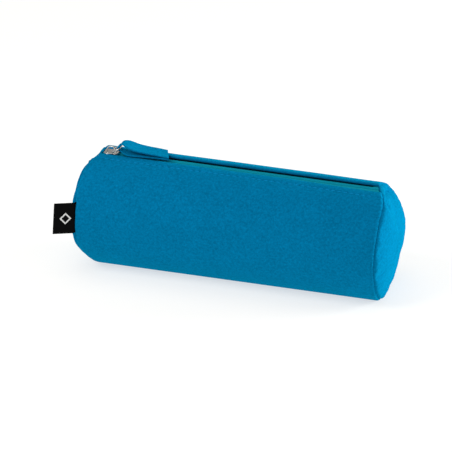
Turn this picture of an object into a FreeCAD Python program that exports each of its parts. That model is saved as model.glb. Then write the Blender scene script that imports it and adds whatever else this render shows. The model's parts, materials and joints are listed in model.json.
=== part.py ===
import FreeCAD, Part
import math
import os
import Sketcher

# Barrel pencil case: a round fabric pouch that lies on its flat base, with a coil zip along
# its top and a round panel in each end. Millimetres. X runs along the case, the front panel
# faces -Y, and the origin is the middle of the base, on the surface that the case lies on.

doc = FreeCAD.newDocument("PencilCase")

sizeList = [
    ("caseLength", 205, "from one end seam to the other"),
    ("barrelDiameter", 78, "outside of the round fabric barrel"),
    ("baseWidth", 30, "flat strip that the case lies on"),
    ("fabricThickness", 1.6, "felted fabric with its lining"),
    ("domeRise", 5, "how far an end panel bulges at its middle"),
    ("clearGap", 0.3, "between pieces that move apart"),
    ("skinGap", 0.05, "between sewn layers"),
    ("zipLength", 189, "the zip's coils, between the end seams"),
    ("zipOpening", 12, "between the two folded fabric edges"),
    ("tapeHalfWidth", 14, "from the zip's middle to a tape's outer edge"),
    ("tapeThickness", 0.6, "woven zip tape"),
    ("coilWidth", 2.8, "one side of the nylon coil"),
    ("coilHeight", 1.8, "one side of the nylon coil"),
    ("coilDrop", 0.75, "from the top of the tape to the top of the coil"),
    ("stitchOffset", 5, "top stitching, from the folded edge"),
    ("threadDiameter", 0.5, "top stitching thread"),
    ("bindingWidth", 6, "seam binding inside each end, along the case"),
    ("bindingThickness", 2.5, "bound seam allowance"),
    ("labelLength", 15, "side label, out from the seam"),
    ("labelHeight", 20.5, "side label"),
    ("labelThickness", 0.9, "side label, woven and folded double"),
    ("labelCentreHeight", 41.3, "middle of the side label above the base"),
    ("labelTurn", 24, "degrees, how far the label points forwards"),
    ("markLength", 8, "plain woven mark on the label"),
    ("markHeight", 8, "plain woven mark on the label"),
    ("markThickness", 0.2, "plain woven mark on the label"),
    ("sliderLength", 9.5, "zip slider along the zip"),
    ("sliderWidth", 8, "zip slider across the zip"),
    ("sliderCentre", -90.5, "middle of the slider with the zip closed"),
    ("plateThickness", 1.1, "each plate of the slider"),
    ("flangeThickness", 0.75, "side rail of the slider"),
    ("postLength", 3.5, "wedge that parts the coils"),
    ("postWidth", 2.8, "wedge that parts the coils"),
    ("bridgeLength", 7, "arch that holds the pull link"),
    ("bridgeWidth", 2.2, "arch that holds the pull link"),
    ("bridgeHeight", 3.4, "arch above the slider's top plate"),
    ("bridgeBarThickness", 1.3, "metal of the arch"),
    ("linkWire", 1.2, "diameter of the pull link's wire"),
    ("linkLength", 5.6, "between the middles of the link's two bars"),
    ("linkWidth", 7.2, "between the middles of the link's two arms"),
    ("linkPivotFromCentre", 1.2, "link's pivot bar, from the slider's middle"),
    ("linkPivotLift", 1.1, "link's pivot bar above the slider's top plate"),
    ("linkTilt", 30, "degrees, how far the resting link points up"),
    ("stripLength", 35.2, "fabric pull strip beyond its loop"),
    ("stripWidth", 11, "fabric pull strip"),
    ("stripThickness", 2.4, "fabric pull strip, folded double"),
    ("stripNeckWidth", 5.2, "strip where it is pinched through the link"),
    ("stripNeckLength", 2.2, "pinched part of the strip"),
    ("stripTilt", 3.4, "degrees, how far the resting strip slopes down"),
    ("loopWall", 1, "fabric round the link's outer bar"),
]

sheet = doc.addObject("Spreadsheet::Sheet", "Sizes")
for row, (alias, value, meaning) in enumerate(sizeList, start=1):
    sheet.set(f"A{row}", alias)
    sheet.set(f"B{row}", str(value))
    sheet.set(f"C{row}", meaning)
    sheet.setAlias(f"B{row}", alias)
doc.recompute()

# Lengths that several pieces share, as expressions on the sheet.
radius = "Sizes.barrelDiameter / 2"
axisHeight = "sqrt(pow(Sizes.barrelDiameter / 2; 2) - pow(Sizes.baseWidth / 2; 2))"
panelLength = "(Sizes.caseLength - 2 * Sizes.clearGap)"
tapeRadius = f"({radius} - Sizes.fabricThickness - Sizes.skinGap)"
tapeTop = f"({axisHeight} + {tapeRadius})"
coilTop = f"({tapeTop} - Sizes.coilDrop)"
coilFoot = f"({coilTop} - Sizes.coilHeight)"
topPlateFoot = f"({tapeTop} + Sizes.clearGap)"
topPlateTop = f"({topPlateFoot} + Sizes.plateThickness)"
lowPlateTop = f"({coilFoot} - Sizes.clearGap)"
lowPlateFoot = f"({lowPlateTop} - Sizes.plateThickness)"
sliderNose = "(Sizes.sliderCentre - Sizes.sliderLength / 2)"
postStart = f"({sliderNose} + Sizes.clearGap)"
linkPivotX = "(Sizes.sliderCentre + Sizes.linkPivotFromCentre)"
linkPivotZ = f"({topPlateTop} + Sizes.linkPivotLift)"

alongX = FreeCAD.Rotation(FreeCAD.Vector(0, 1, 0), 90)
alongY = FreeCAD.Rotation(FreeCAD.Vector(1, 0, 0), -90)
turned = FreeCAD.Rotation(FreeCAD.Vector(0, 0, 1), 180)


def bind(item, expressions):
    for path, expression in expressions.items():
        item.setExpression(path, str(expression))


def place(item, x, y, z, rotation=None):
    """Bind an object's position to the sheet."""
    if rotation is not None:
        item.Placement = FreeCAD.Placement(FreeCAD.Vector(0, 0, 0), rotation)
    bind(item, {"Placement.Base.x": x, "Placement.Base.y": y, "Placement.Base.z": z})


def addBox(name, x, y, z, length, width, height):
    """A box from its lowest corner."""
    item = doc.addObject("Part::Box", name)
    bind(item, {"Length": length, "Width": width, "Height": height})
    place(item, x, y, z)
    return item


def addRod(name, x, y, z, rodRadius, length, rotation):
    item = doc.addObject("Part::Cylinder", name)
    bind(item, {"Radius": rodRadius, "Height": length})
    place(item, x, y, z, rotation)
    return item


def addCut(name, base, tool):
    item = doc.addObject("Part::Cut", name)
    item.Base = base
    item.Tool = tool
    return item


def addFuse(name, shapes):
    item = doc.addObject("Part::MultiFuse", name)
    item.Shapes = shapes
    item.Refine = True
    return item


def addSketch(body, name, planeRole):
    """A sketch on one of its own body's origin planes."""
    plane = [item for item in body.Origin.OriginFeatures if item.Role == planeRole][0]
    sketch = body.newObject("Sketcher::SketchObject", name)
    sketch.AttachmentSupport = (plane, "")
    sketch.MapMode = "FlatFace"
    return sketch


def addWall(name, side, outerRadius, thickness, length, topOffset, footOffset, footSign):
    """A curved wall round the barrel's axis, on the front (side -1) or the back (side 1).

    topOffset and footOffset are how far its two edges stand from the middle plane, and
    footSign is -1 where the lower edge lies below the axis.
    """
    height = math.sqrt((sheet.barrelDiameter / 2) ** 2 - (sheet.baseWidth / 2) ** 2)
    outer = sheet.barrelDiameter / 2
    inner = outer - sheet.fabricThickness
    topAngle = math.radians(80)
    footAngle = footSign * math.radians(60)
    ends = (footAngle, topAngle) if side > 0 else (math.pi - topAngle, math.pi - footAngle)
    topEnd, footEnd = (2, 1) if side > 0 else (1, 2)

    body = doc.addObject("PartDesign::Body", name)
    sketch = addSketch(body, name + "Section", "YZ_Plane")
    centre = FreeCAD.Vector(0, height, 0)
    normal = FreeCAD.Vector(0, 0, 1)
    arcs = [Part.ArcOfCircle(Part.Circle(centre, normal, size), *ends) for size in (outer, inner)]
    for arc in arcs:
        sketch.addGeometry(arc, False)
    for position in ("StartPoint", "EndPoint"):
        line = Part.LineSegment(getattr(arcs[0], position), getattr(arcs[1], position))
        sketch.addGeometry(line, False)
    for end in (1, 2):
        sketch.addConstraint(Sketcher.Constraint("Coincident", 0, end, 1 + end, 1))
        sketch.addConstraint(Sketcher.Constraint("Coincident", 1, end, 1 + end, 2))
        sketch.addConstraint(Sketcher.Constraint("PointOnObject", 0, 3, 1 + end))
    sketch.addConstraint(Sketcher.Constraint("Coincident", 0, 3, 1, 3))
    sketch.addConstraint(Sketcher.Constraint("PointOnObject", 0, 3, -2))

    def dimension(label, kind, *geometry, expression):
        number = sketch.addConstraint(Sketcher.Constraint(kind, *geometry))
        sketch.renameConstraint(number, label)
        sketch.setExpression("Constraints." + label, expression)

    dimension("axisHeight", "DistanceY", -1, 1, 0, 3, height, expression=axisHeight)
    dimension("outerRadius", "Radius", 0, outer, expression=outerRadius)
    dimension("innerRadius", "Radius", 1, inner, expression=f"{outerRadius} - {thickness}")
    for label, end, angle, offset in (
        ("topOffset", topEnd, topAngle, topOffset),
        ("footOffset", footEnd, footAngle, footOffset),
    ):
        points = (-1, 1, 0, end) if side > 0 else (0, end, -1, 1)
        dimension(label, "DistanceX", *points, outer * math.cos(angle), expression=offset)

    pad = body.newObject("PartDesign::Pad", name + "Pad")
    pad.Profile = sketch
    pad.SideType = "Symmetric"
    bind(pad, {"Length": length})
    return body


def addEndPanel(name, side):
    """A domed round panel, flat where it meets the base."""
    rim = sheet.barrelDiameter / 2
    rise = sheet.domeRise
    thick = sheet.fabricThickness
    ball = (rim ** 2 + rise ** 2) / (2 * rise)
    sweep = math.asin(rim / ball)
    ballRadius = f"(pow({radius}; 2) + pow(Sizes.domeRise; 2)) / (2 * Sizes.domeRise)"

    body = doc.addObject("PartDesign::Body", name + "Dome")
    sketch = addSketch(body, name + "Section", "XZ_Plane")
    normal = FreeCAD.Vector(0, 0, 1)
    for shift in (thick, 0):
        centre = FreeCAD.Vector(shift + rise - ball, 0, 0)
        sketch.addGeometry(Part.ArcOfCircle(Part.Circle(centre, normal, ball), 0, sweep), False)
    for first, second in (((thick + rise, 0), (rise, 0)), ((thick, rim), (0, rim))):
        sketch.addGeometry(Part.LineSegment(FreeCAD.Vector(*first, 0), FreeCAD.Vector(*second, 0)), False)
    for end in (1, 2):
        sketch.addConstraint(Sketcher.Constraint("Coincident", 0, end, 1 + end, 1))
        sketch.addConstraint(Sketcher.Constraint("Coincident", 1, end, 1 + end, 2))
        sketch.addConstraint(Sketcher.Constraint("PointOnObject", end - 1, 3, -1))
        sketch.addConstraint(Sketcher.Constraint("Horizontal", 1 + end))
    sketch.addConstraint(Sketcher.Constraint("PointOnObject", 1, 1, -1))
    sketch.addConstraint(Sketcher.Constraint("PointOnObject", 1, 2, -2))
    for label, constraint, expression in (
        ("rimRadius", Sketcher.Constraint("DistanceY", -1, 1, 1, 2, rim), radius),
        ("outerBall", Sketcher.Constraint("Radius", 0, ball), ballRadius),
        ("innerBall", Sketcher.Constraint("Radius", 1, ball), ballRadius),
        ("thickness", Sketcher.Constraint("DistanceX", 3, 2, 3, 1, thick), "Sizes.fabricThickness"),
    ):
        number = sketch.addConstraint(constraint)
        sketch.renameConstraint(number, label)
        sketch.setExpression("Constraints." + label, expression)
    turn = body.newObject("PartDesign::Revolution", name + "Turn")
    turn.Profile = sketch
    turn.ReferenceAxis = ([item for item in body.Origin.OriginFeatures if item.Role == "X_Axis"][0], [""])
    turn.Angle = 360
    place(body, f"{side} * Sizes.caseLength / 2", "0", axisHeight, turned if side < 0 else None)

    below = addBox(
        name + "Below", "-Sizes.caseLength", "-Sizes.barrelDiameter", "-Sizes.barrelDiameter",
        "2 * Sizes.caseLength", "2 * Sizes.barrelDiameter", "Sizes.barrelDiameter",
    )
    return addCut(name, body, below)


def addBinding(name, side):
    """The bound seam allowance inside one end, standing on the base."""
    outer = f"({tapeRadius} - Sizes.tapeThickness - 2 * Sizes.clearGap)"
    start = "Sizes.caseLength / 2 - Sizes.bindingWidth" if side > 0 else "-Sizes.caseLength / 2"
    rods = [
        addRod(name + part, start, "0", axisHeight, size, "Sizes.bindingWidth", alongX)
        for part, size in (("Outside", outer), ("Inside", f"{outer} - Sizes.bindingThickness"))
    ]
    ring = addCut(name + "Ring", *rods)
    below = addBox(
        name + "Below", "-Sizes.caseLength", "-Sizes.barrelDiameter",
        "-Sizes.barrelDiameter + Sizes.fabricThickness + Sizes.skinGap",
        "2 * Sizes.caseLength", "2 * Sizes.barrelDiameter", "Sizes.barrelDiameter",
    )
    return addCut(name, ring, below)


def addPartedNotch(name):
    """The space where the slider's wedge holds the two sides of the zip apart."""
    return addBox(
        name, "-Sizes.caseLength", "-Sizes.postWidth / 2 - Sizes.clearGap", "0",
        f"Sizes.caseLength + {postStart} + Sizes.postLength + Sizes.clearGap",
        "Sizes.postWidth + 2 * Sizes.clearGap", "2 * Sizes.barrelDiameter",
    )


def makeBase():
    """The flat strip between the feet of the front and back panels, whose edges lean inwards."""
    halfWidth = f"(Sizes.baseWidth / 2 * (1 - Sizes.fabricThickness / ({radius})) - Sizes.clearGap)"
    return [addBox(
        "base_panel", "-Sizes.caseLength / 2", f"-{halfWidth}", "0",
        "Sizes.caseLength", f"2 * {halfWidth}", "Sizes.fabricThickness",
    )]


def makeEnds():
    pieces = []
    for word, side in (("left", -1), ("right", 1)):
        pieces.append(addEndPanel("end_panel_" + word, side))
        pieces.append(addBinding("seam_binding_" + word, side))
    return pieces


def makeLips():
    """The front and back panels, each with its side of the zip and its top stitching."""
    pieces = []
    stitchAngle = (
        f"asin(Sizes.zipOpening / Sizes.barrelDiameter)"
        f" + 180 deg / pi * Sizes.stitchOffset / ({radius})"
    )
    threadRadius = "Sizes.threadDiameter / 2"
    threadReach = f"({radius} + {threadRadius} + Sizes.skinGap)"
    for word, side in (("front", -1), ("back", 1)):
        pieces.append(addWall(
            word + "_panel", side, radius, "Sizes.fabricThickness",
            panelLength, "Sizes.zipOpening / 2", "Sizes.baseWidth / 2", -1,
        ))
        pieces.append(addRod(
            "topstitch_" + word, "-Sizes.zipLength / 2", f"{side} * {threadReach} * sin({stitchAngle})",
            f"{axisHeight} + {threadReach} * cos({stitchAngle})", threadRadius, "Sizes.zipLength", alongX,
        ))
        tape = addWall(
            f"zip_tape_{word}_whole", side, tapeRadius, "Sizes.tapeThickness",
            panelLength, "Sizes.clearGap / 2", "Sizes.tapeHalfWidth", 1,
        )
        pieces.append(addCut("zip_tape_" + word, tape, addPartedNotch(f"zip_tape_{word}_notch")))
        inner = "Sizes.clearGap / 2" if side > 0 else "-Sizes.clearGap / 2 - Sizes.coilWidth"
        coil = addBox(
            f"zip_coil_{word}_whole", "-Sizes.zipLength / 2", inner, coilFoot,
            "Sizes.zipLength", "Sizes.coilWidth", "Sizes.coilHeight",
        )
        pieces.append(addCut("zip_coil_" + word, coil, addPartedNotch(f"zip_coil_{word}_notch")))
    return pieces


def makeLabel():
    """A label folded double, sewn into the left seam, with a plain woven mark on its front."""
    turn = FreeCAD.Rotation(FreeCAD.Vector(0, 0, 1), 180 + sheet.labelTurn)
    along = "cos(Sizes.labelTurn * 1 deg)"
    out = "sin(Sizes.labelTurn * 1 deg)"
    rootX = "(-Sizes.caseLength / 2 - Sizes.clearGap)"
    rootY = f"(-{radius} - Sizes.clearGap)"
    label = doc.addObject("Part::Box", "side_label")
    bind(label, {"Length": "Sizes.labelLength", "Width": "Sizes.labelThickness", "Height": "Sizes.labelHeight"})
    place(label, rootX, rootY, "Sizes.labelCentreHeight - Sizes.labelHeight / 2", turn)
    mark = doc.addObject("Part::Box", "label_mark")
    bind(mark, {"Length": "Sizes.markLength", "Width": "Sizes.markThickness", "Height": "Sizes.markHeight"})
    inset = "((Sizes.labelLength - Sizes.markLength) / 2)"
    place(
        mark, f"{rootX} - {inset} * {along} + Sizes.labelThickness * {out}",
        f"{rootY} - {inset} * {out} - Sizes.labelThickness * {along}",
        "Sizes.labelCentreHeight - Sizes.markHeight / 2", turn,
    )
    return [label, mark]


def makeSlider():
    """Two plates joined by a wedge, with side rails round the coils and an arch on top."""
    plates = [
        addBox(
            name, sliderNose, "-Sizes.sliderWidth / 2", height,
            "Sizes.sliderLength", "Sizes.sliderWidth", "Sizes.plateThickness",
        )
        for name, height in (("sliderTop", topPlateFoot), ("sliderFoot", lowPlateFoot))
    ]
    post = addBox(
        "sliderPost", postStart, "-Sizes.postWidth / 2", lowPlateFoot,
        "Sizes.postLength", "Sizes.postWidth", f"{topPlateTop} - {lowPlateFoot}",
    )
    rails = [
        addBox(
            name, sliderNose, start, lowPlateFoot,
            "Sizes.sliderLength", "Sizes.flangeThickness", f"{coilTop} - Sizes.clearGap - {lowPlateFoot}",
        )
        for name, start in (
            ("sliderRailFront", "-Sizes.sliderWidth / 2"),
            ("sliderRailBack", "Sizes.sliderWidth / 2 - Sizes.flangeThickness"),
        )
    ]
    body = addFuse("slider_body", plates + [post] + rails)

    arch = addBox(
        "bridgeArch", "Sizes.sliderCentre - Sizes.bridgeLength / 2", "-Sizes.bridgeWidth / 2", topPlateTop,
        "Sizes.bridgeLength", "Sizes.bridgeWidth", "Sizes.bridgeHeight",
    )
    gap = addBox(
        "bridgeGap", "Sizes.sliderCentre - Sizes.bridgeLength / 2 + Sizes.bridgeBarThickness",
        "-Sizes.bridgeWidth", f"{topPlateTop} - Sizes.plateThickness",
        "Sizes.bridgeLength - 2 * Sizes.bridgeBarThickness", "2 * Sizes.bridgeWidth",
        "Sizes.plateThickness + Sizes.bridgeHeight - Sizes.bridgeBarThickness",
    )
    return [body, addCut("slider_bridge", arch, gap)]


def makeLink():
    """A wire frame whose first bar turns under the slider's arch; the strip hangs on the other."""
    wire = "Sizes.linkWire / 2"
    pieces = []
    for number, (x, side) in enumerate((("0", -1), ("0", 1), ("Sizes.linkLength", -1), ("Sizes.linkLength", 1))):
        corner = doc.addObject("Part::Sphere", f"linkCorner{number}")
        bind(corner, {"Radius": wire})
        place(corner, x, f"{side} * Sizes.linkWidth / 2", "0")
        pieces.append(corner)
    for name, x in (("linkPivotBar", "0"), ("linkStripBar", "Sizes.linkLength")):
        pieces.append(addRod(name, x, "-Sizes.linkWidth / 2", "0", wire, "Sizes.linkWidth", alongY))
    for name, side in (("linkArmFront", -1), ("linkArmBack", 1)):
        pieces.append(addRod(name, "0", f"{side} * Sizes.linkWidth / 2", "0", wire, "Sizes.linkLength", alongX))
    link = addFuse("pull_link", pieces)
    place(link, linkPivotX, "0", linkPivotZ, FreeCAD.Rotation(FreeCAD.Vector(0, 1, 0), -sheet.linkTilt))
    return [link]


def makeStrip():
    """A fabric strip folded round the link's outer bar and sewn to itself."""
    loop = addRod(
        "stripLoop", "0", "-Sizes.stripNeckWidth / 2", "0",
        "Sizes.linkWire / 2 + Sizes.clearGap + Sizes.loopWall", "Sizes.stripNeckWidth", alongY,
    )
    neck = addBox(
        "stripNeck", "0", "-Sizes.stripNeckWidth / 2", "-Sizes.stripThickness / 2",
        "Sizes.stripNeckLength", "Sizes.stripNeckWidth", "Sizes.stripThickness",
    )
    flat = addBox(
        "stripFlat", "Sizes.stripNeckLength", "-Sizes.stripWidth / 2", "-Sizes.stripThickness / 2",
        "Sizes.stripLength - Sizes.stripNeckLength", "Sizes.stripWidth", "Sizes.stripThickness",
    )
    hole = addRod(
        "stripHole", "0", "-Sizes.stripWidth", "0",
        "Sizes.linkWire / 2 + Sizes.clearGap", "2 * Sizes.stripWidth", alongY,
    )
    strip = addCut("pull_strip", addFuse("stripWhole", [loop, neck, flat]), hole)
    place(
        strip, f"{linkPivotX} + Sizes.linkLength * cos(Sizes.linkTilt * 1 deg)", "0",
        f"{linkPivotZ} + Sizes.linkLength * sin(Sizes.linkTilt * 1 deg)",
        FreeCAD.Rotation(FreeCAD.Vector(0, 1, 0), sheet.stripTilt),
    )
    return [strip]


nodes = makeBase() + makeEnds() + makeLips() + makeLabel() + makeSlider() + makeLink() + makeStrip()
doc.recompute()

for item in doc.Objects:
    if "Invalid" in item.State or "Error" in item.State:
        raise RuntimeError(f"{item.Label} failed: {item.State}")

os.makedirs("parts", exist_ok=True)
for node in nodes:
    shape = node.Shape
    if shape.isNull() or not shape.isValid():
        raise RuntimeError(f"{node.Label} has no valid shape")
    shape.exportStep(f"parts/{node.Label}.step")
    box = shape.BoundBox
    print(
        f"{node.Label:20s} {len(shape.Solids)} solid {shape.Volume:9.1f} mm3"
        f"  x {box.XMin:7.2f} {box.XMax:7.2f}  y {box.YMin:7.2f} {box.YMax:7.2f}"
        f"  z {box.ZMin:6.2f} {box.ZMax:6.2f}"
    )
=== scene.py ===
import json
import math
import bmesh
import bpy
from mathutils import Matrix, Vector, noise


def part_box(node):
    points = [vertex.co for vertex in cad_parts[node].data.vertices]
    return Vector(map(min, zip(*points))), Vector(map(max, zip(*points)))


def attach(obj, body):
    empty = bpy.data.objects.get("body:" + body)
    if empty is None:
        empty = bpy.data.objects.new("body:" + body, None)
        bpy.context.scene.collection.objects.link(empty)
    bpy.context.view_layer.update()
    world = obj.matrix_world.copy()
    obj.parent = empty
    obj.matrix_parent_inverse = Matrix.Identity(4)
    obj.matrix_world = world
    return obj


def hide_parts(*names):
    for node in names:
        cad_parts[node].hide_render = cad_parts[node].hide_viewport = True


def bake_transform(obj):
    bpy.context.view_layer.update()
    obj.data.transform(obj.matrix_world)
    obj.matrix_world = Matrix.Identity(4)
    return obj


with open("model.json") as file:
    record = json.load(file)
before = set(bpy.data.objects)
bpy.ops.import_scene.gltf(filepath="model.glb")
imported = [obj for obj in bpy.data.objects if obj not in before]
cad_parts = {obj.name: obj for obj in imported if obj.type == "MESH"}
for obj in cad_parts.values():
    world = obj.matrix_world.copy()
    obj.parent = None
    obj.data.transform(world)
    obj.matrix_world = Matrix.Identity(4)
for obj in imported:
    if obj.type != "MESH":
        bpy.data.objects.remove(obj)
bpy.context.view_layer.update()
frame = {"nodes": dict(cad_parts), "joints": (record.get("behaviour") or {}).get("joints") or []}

print("frame loaded:", len(frame["nodes"]), "parts")

# Places that the frame gives, in metres. The barrel's axis runs along X, at y = 0.
joints = {joint["name"]: joint for joint in frame["joints"]}
panelLow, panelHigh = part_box("front_panel")
barrelRadius = -panelLow.y
hemGap = 0.006  # from the zip's middle to each hem
axisHeight = panelHigh.z - math.sqrt(barrelRadius ** 2 - hemGap ** 2)
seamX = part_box("end_panel_right")[0].x
footY = -joints["front_lip_open"]["pos_m"][1]
footAngle = math.pi - math.asin(footY / barrelRadius)
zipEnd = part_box("zip_coil_front")[1].x
sliderLow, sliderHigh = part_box("slider_body")
archLow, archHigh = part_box("slider_bridge")
linkPivot = Vector(joints["link_swing"]["pos_m"])
stripPivot = Vector(joints["strip_swing"]["pos_m"])
stripLow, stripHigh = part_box("pull_strip")
labelLow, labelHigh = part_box("side_label")
zipTravel = joints["zip_slide"]["range_m"][1]
mouth = {"behindSlider": 0.001, "halfSpan": 0.015}
openEnd = sliderLow.x + zipTravel + mouth["behindSlider"]
mouthMiddle = (openEnd - zipEnd) / 2
mouthLeft = mouthMiddle - mouth["halfSpan"]
mouthRight = mouthMiddle + mouth["halfSpan"]
lips = {1: ("Front", "front", "front_lip"), -1: ("Back", "back", "back_lip")}
collection = bpy.context.scene.collection


# Shared helpers

def smoothStep(value, low, high):
    t = min(1, max(0, (value - low) / (high - low)))
    return t * t * (3 - 2 * t)


# Smooth curve through a short list of (place, value) pairs.
def along(points, value):
    if value <= points[0][0]:
        return points[0][1]
    if value >= points[-1][0]:
        return points[-1][1]
    i = next(n for n in range(len(points) - 1) if value <= points[n + 1][0])

    def slope(n):
        a, b = points[max(0, n - 1)], points[min(len(points) - 1, n + 1)]
        return (b[1] - a[1]) / (b[0] - a[0])
    (x0, y0), (x1, y1) = points[i], points[i + 1]
    h = x1 - x0
    t = (value - x0) / h
    return (y0 * (2 * t ** 3 - 3 * t * t + 1) + y1 * (3 * t * t - 2 * t ** 3)
            + h * slope(i) * (t ** 3 - 2 * t * t + t) + h * slope(i + 1) * (t ** 3 - t * t))


# A finished bmesh as a smooth-shaded object at the origin.
def meshObject(name, bm, material):
    bmesh.ops.recalc_face_normals(bm, faces=bm.faces)
    mesh = bpy.data.meshes.new(name)
    bm.to_mesh(mesh)
    bm.free()
    mesh.materials.append(material)
    mesh.polygons.foreach_set("use_smooth", [True] * len(mesh.polygons))
    obj = bpy.data.objects.new(name, mesh)
    collection.objects.link(obj)
    return obj


# Bakes an object's modifiers into its mesh.
def applyModifiers(obj):
    graph = bpy.context.evaluated_depsgraph_get()
    mesh = bpy.data.meshes.new_from_object(obj.evaluated_get(graph))
    obj.modifiers.clear()
    obj.data = mesh
    mesh.polygons.foreach_set("use_smooth", [True] * len(mesh.polygons))
    return obj


# Gives a sheet its thickness, half to each side.
def thicken(obj, thickness):
    solid = obj.modifiers.new("Thickness", "SOLIDIFY")
    solid.thickness = thickness
    solid.offset = 0
    solid.use_even_offset = True
    return applyModifiers(obj)


# Rounds every edge that turns by more than the given degrees.
def roundEdges(bm, width, segments, sharpest=40):
    limit = math.radians(sharpest)
    edges = [e for e in bm.edges if len(e.link_faces) == 2 and e.calc_face_angle() > limit]
    bmesh.ops.bevel(bm, geom=edges, offset=width, affect="EDGES", segments=segments,
                    profile=0.5, material=-1, clamp_overlap=True)


# A grid whose vertices place(u, v) puts, with u and v from 0 to 1. place also gives the cloth's own
# coordinates, which the weave follows.
def gridSheet(columns, rows, place):
    bm = bmesh.new()
    bmesh.ops.create_grid(bm, x_segments=columns, y_segments=rows, size=1)
    cloth = bm.verts.layers.float_vector.new("cloth")
    for vert in bm.verts:
        vert.co, vert[cloth] = place(vert.co.x / 2 + 0.5, vert.co.y / 2 + 0.5)
    return bm


# Cuts a piece in two at x, and closes both cuts with sharp edges.
def halves(obj, x):
    parts = []
    for word, direction in (("Left", 1), ("Right", -1)):
        bm = bmesh.new()
        bm.from_mesh(obj.data)
        cut = bmesh.ops.bisect_plane(
            bm, geom=bm.verts[:] + bm.edges[:] + bm.faces[:], plane_co=(x, 0, 0),
            plane_no=(direction, 0, 0), clear_outer=True, dist=1e-7)
        edges = [e for e in cut["geom_cut"] if isinstance(e, bmesh.types.BMEdge)]
        bmesh.ops.holes_fill(bm, edges=edges, sides=0)
        for edge in bm.edges:
            if all(abs(v.co.x - x) < 1e-6 for v in edge.verts):
                edge.smooth = False
        part = meshObject(obj.name + word, bm, obj.data.materials[0])
        parts.append(part)
    bpy.data.objects.remove(obj)
    return parts


# Bakes each half's placement into its mesh, and hides the frame parts that the halves stand for.
def onLip(parts, lip, slotName, *nodes):
    for part, start, end in zip(parts, (-zipEnd, openEnd), (mouthLeft, mouthRight)):
        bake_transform(part)
        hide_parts(*nodes)


def onBody(obj, body, slotName, *nodes):
    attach(obj, body)
    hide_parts(*nodes)


# Materials

# A Principled material. Returns it with a function that adds and links nodes.
def nodeTree(name, roughness, colour, **sockets):
    material = bpy.data.materials.new(name)
    material.use_nodes = True
    nodes, links = material.node_tree.nodes, material.node_tree.links
    shader = nodes["Principled BSDF"]
    shader.inputs["Base Color"].default_value = (*colour, 1)
    shader.inputs["Roughness"].default_value = roughness
    for socket, value in sockets.items():
        shader.inputs[socket.replace("_", " ")].default_value = value
    material.diffuse_color = (*colour, 1)

    def add(kind, inputs=None, **settings):
        node = nodes.new(kind)
        for key, value in settings.items():
            setattr(node, key, value)
        for socket, value in (inputs or {}).items():
            if isinstance(value, bpy.types.NodeSocket):
                links.new(value, node.inputs[socket])
            else:
                node.inputs[socket].default_value = value
        return node.outputs[0]

    def toShader(socket, value):
        links.new(value, shader.inputs[socket])
    return material, add, toShader


# Mixes two colours as the source goes from low to high.
def ramp(add, source, low, high, lowColour, highColour):
    share = add("ShaderNodeMapRange", {0: source, 1: low, 2: high})
    mix = add("ShaderNodeMix", {0: share, 6: (*lowColour, 1), 7: (*highColour, 1)}, data_type="RGBA")
    return mix.node.outputs[2]


def shade(colour, factor):
    return tuple(channel * factor for channel in colour)


def clothCoordinates(add, scale):
    where = add("ShaderNodeAttribute", attribute_name="cloth")
    return add("ShaderNodeMapping", {"Vector": where.node.outputs["Vector"], "Scale": scale})


felt = {
    "blotches": 60,
    "mottling": 620,
    "slubs": (110, 700, 1),
    "fibresAlong": (500, 2600, 1),
    "fibresAcross": (2600, 600, 1),
    "weft": 450,
    "warp": 480,
    "wander": 1.5,
    "toneSpan": (1.03, 1.73),
    "roughness": (0.82, 0.97),
    "nap": 0.00018,
    "sheen": 0.2,
    "sheenTint": (0, 0.85, 0.95, 1),
}


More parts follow.
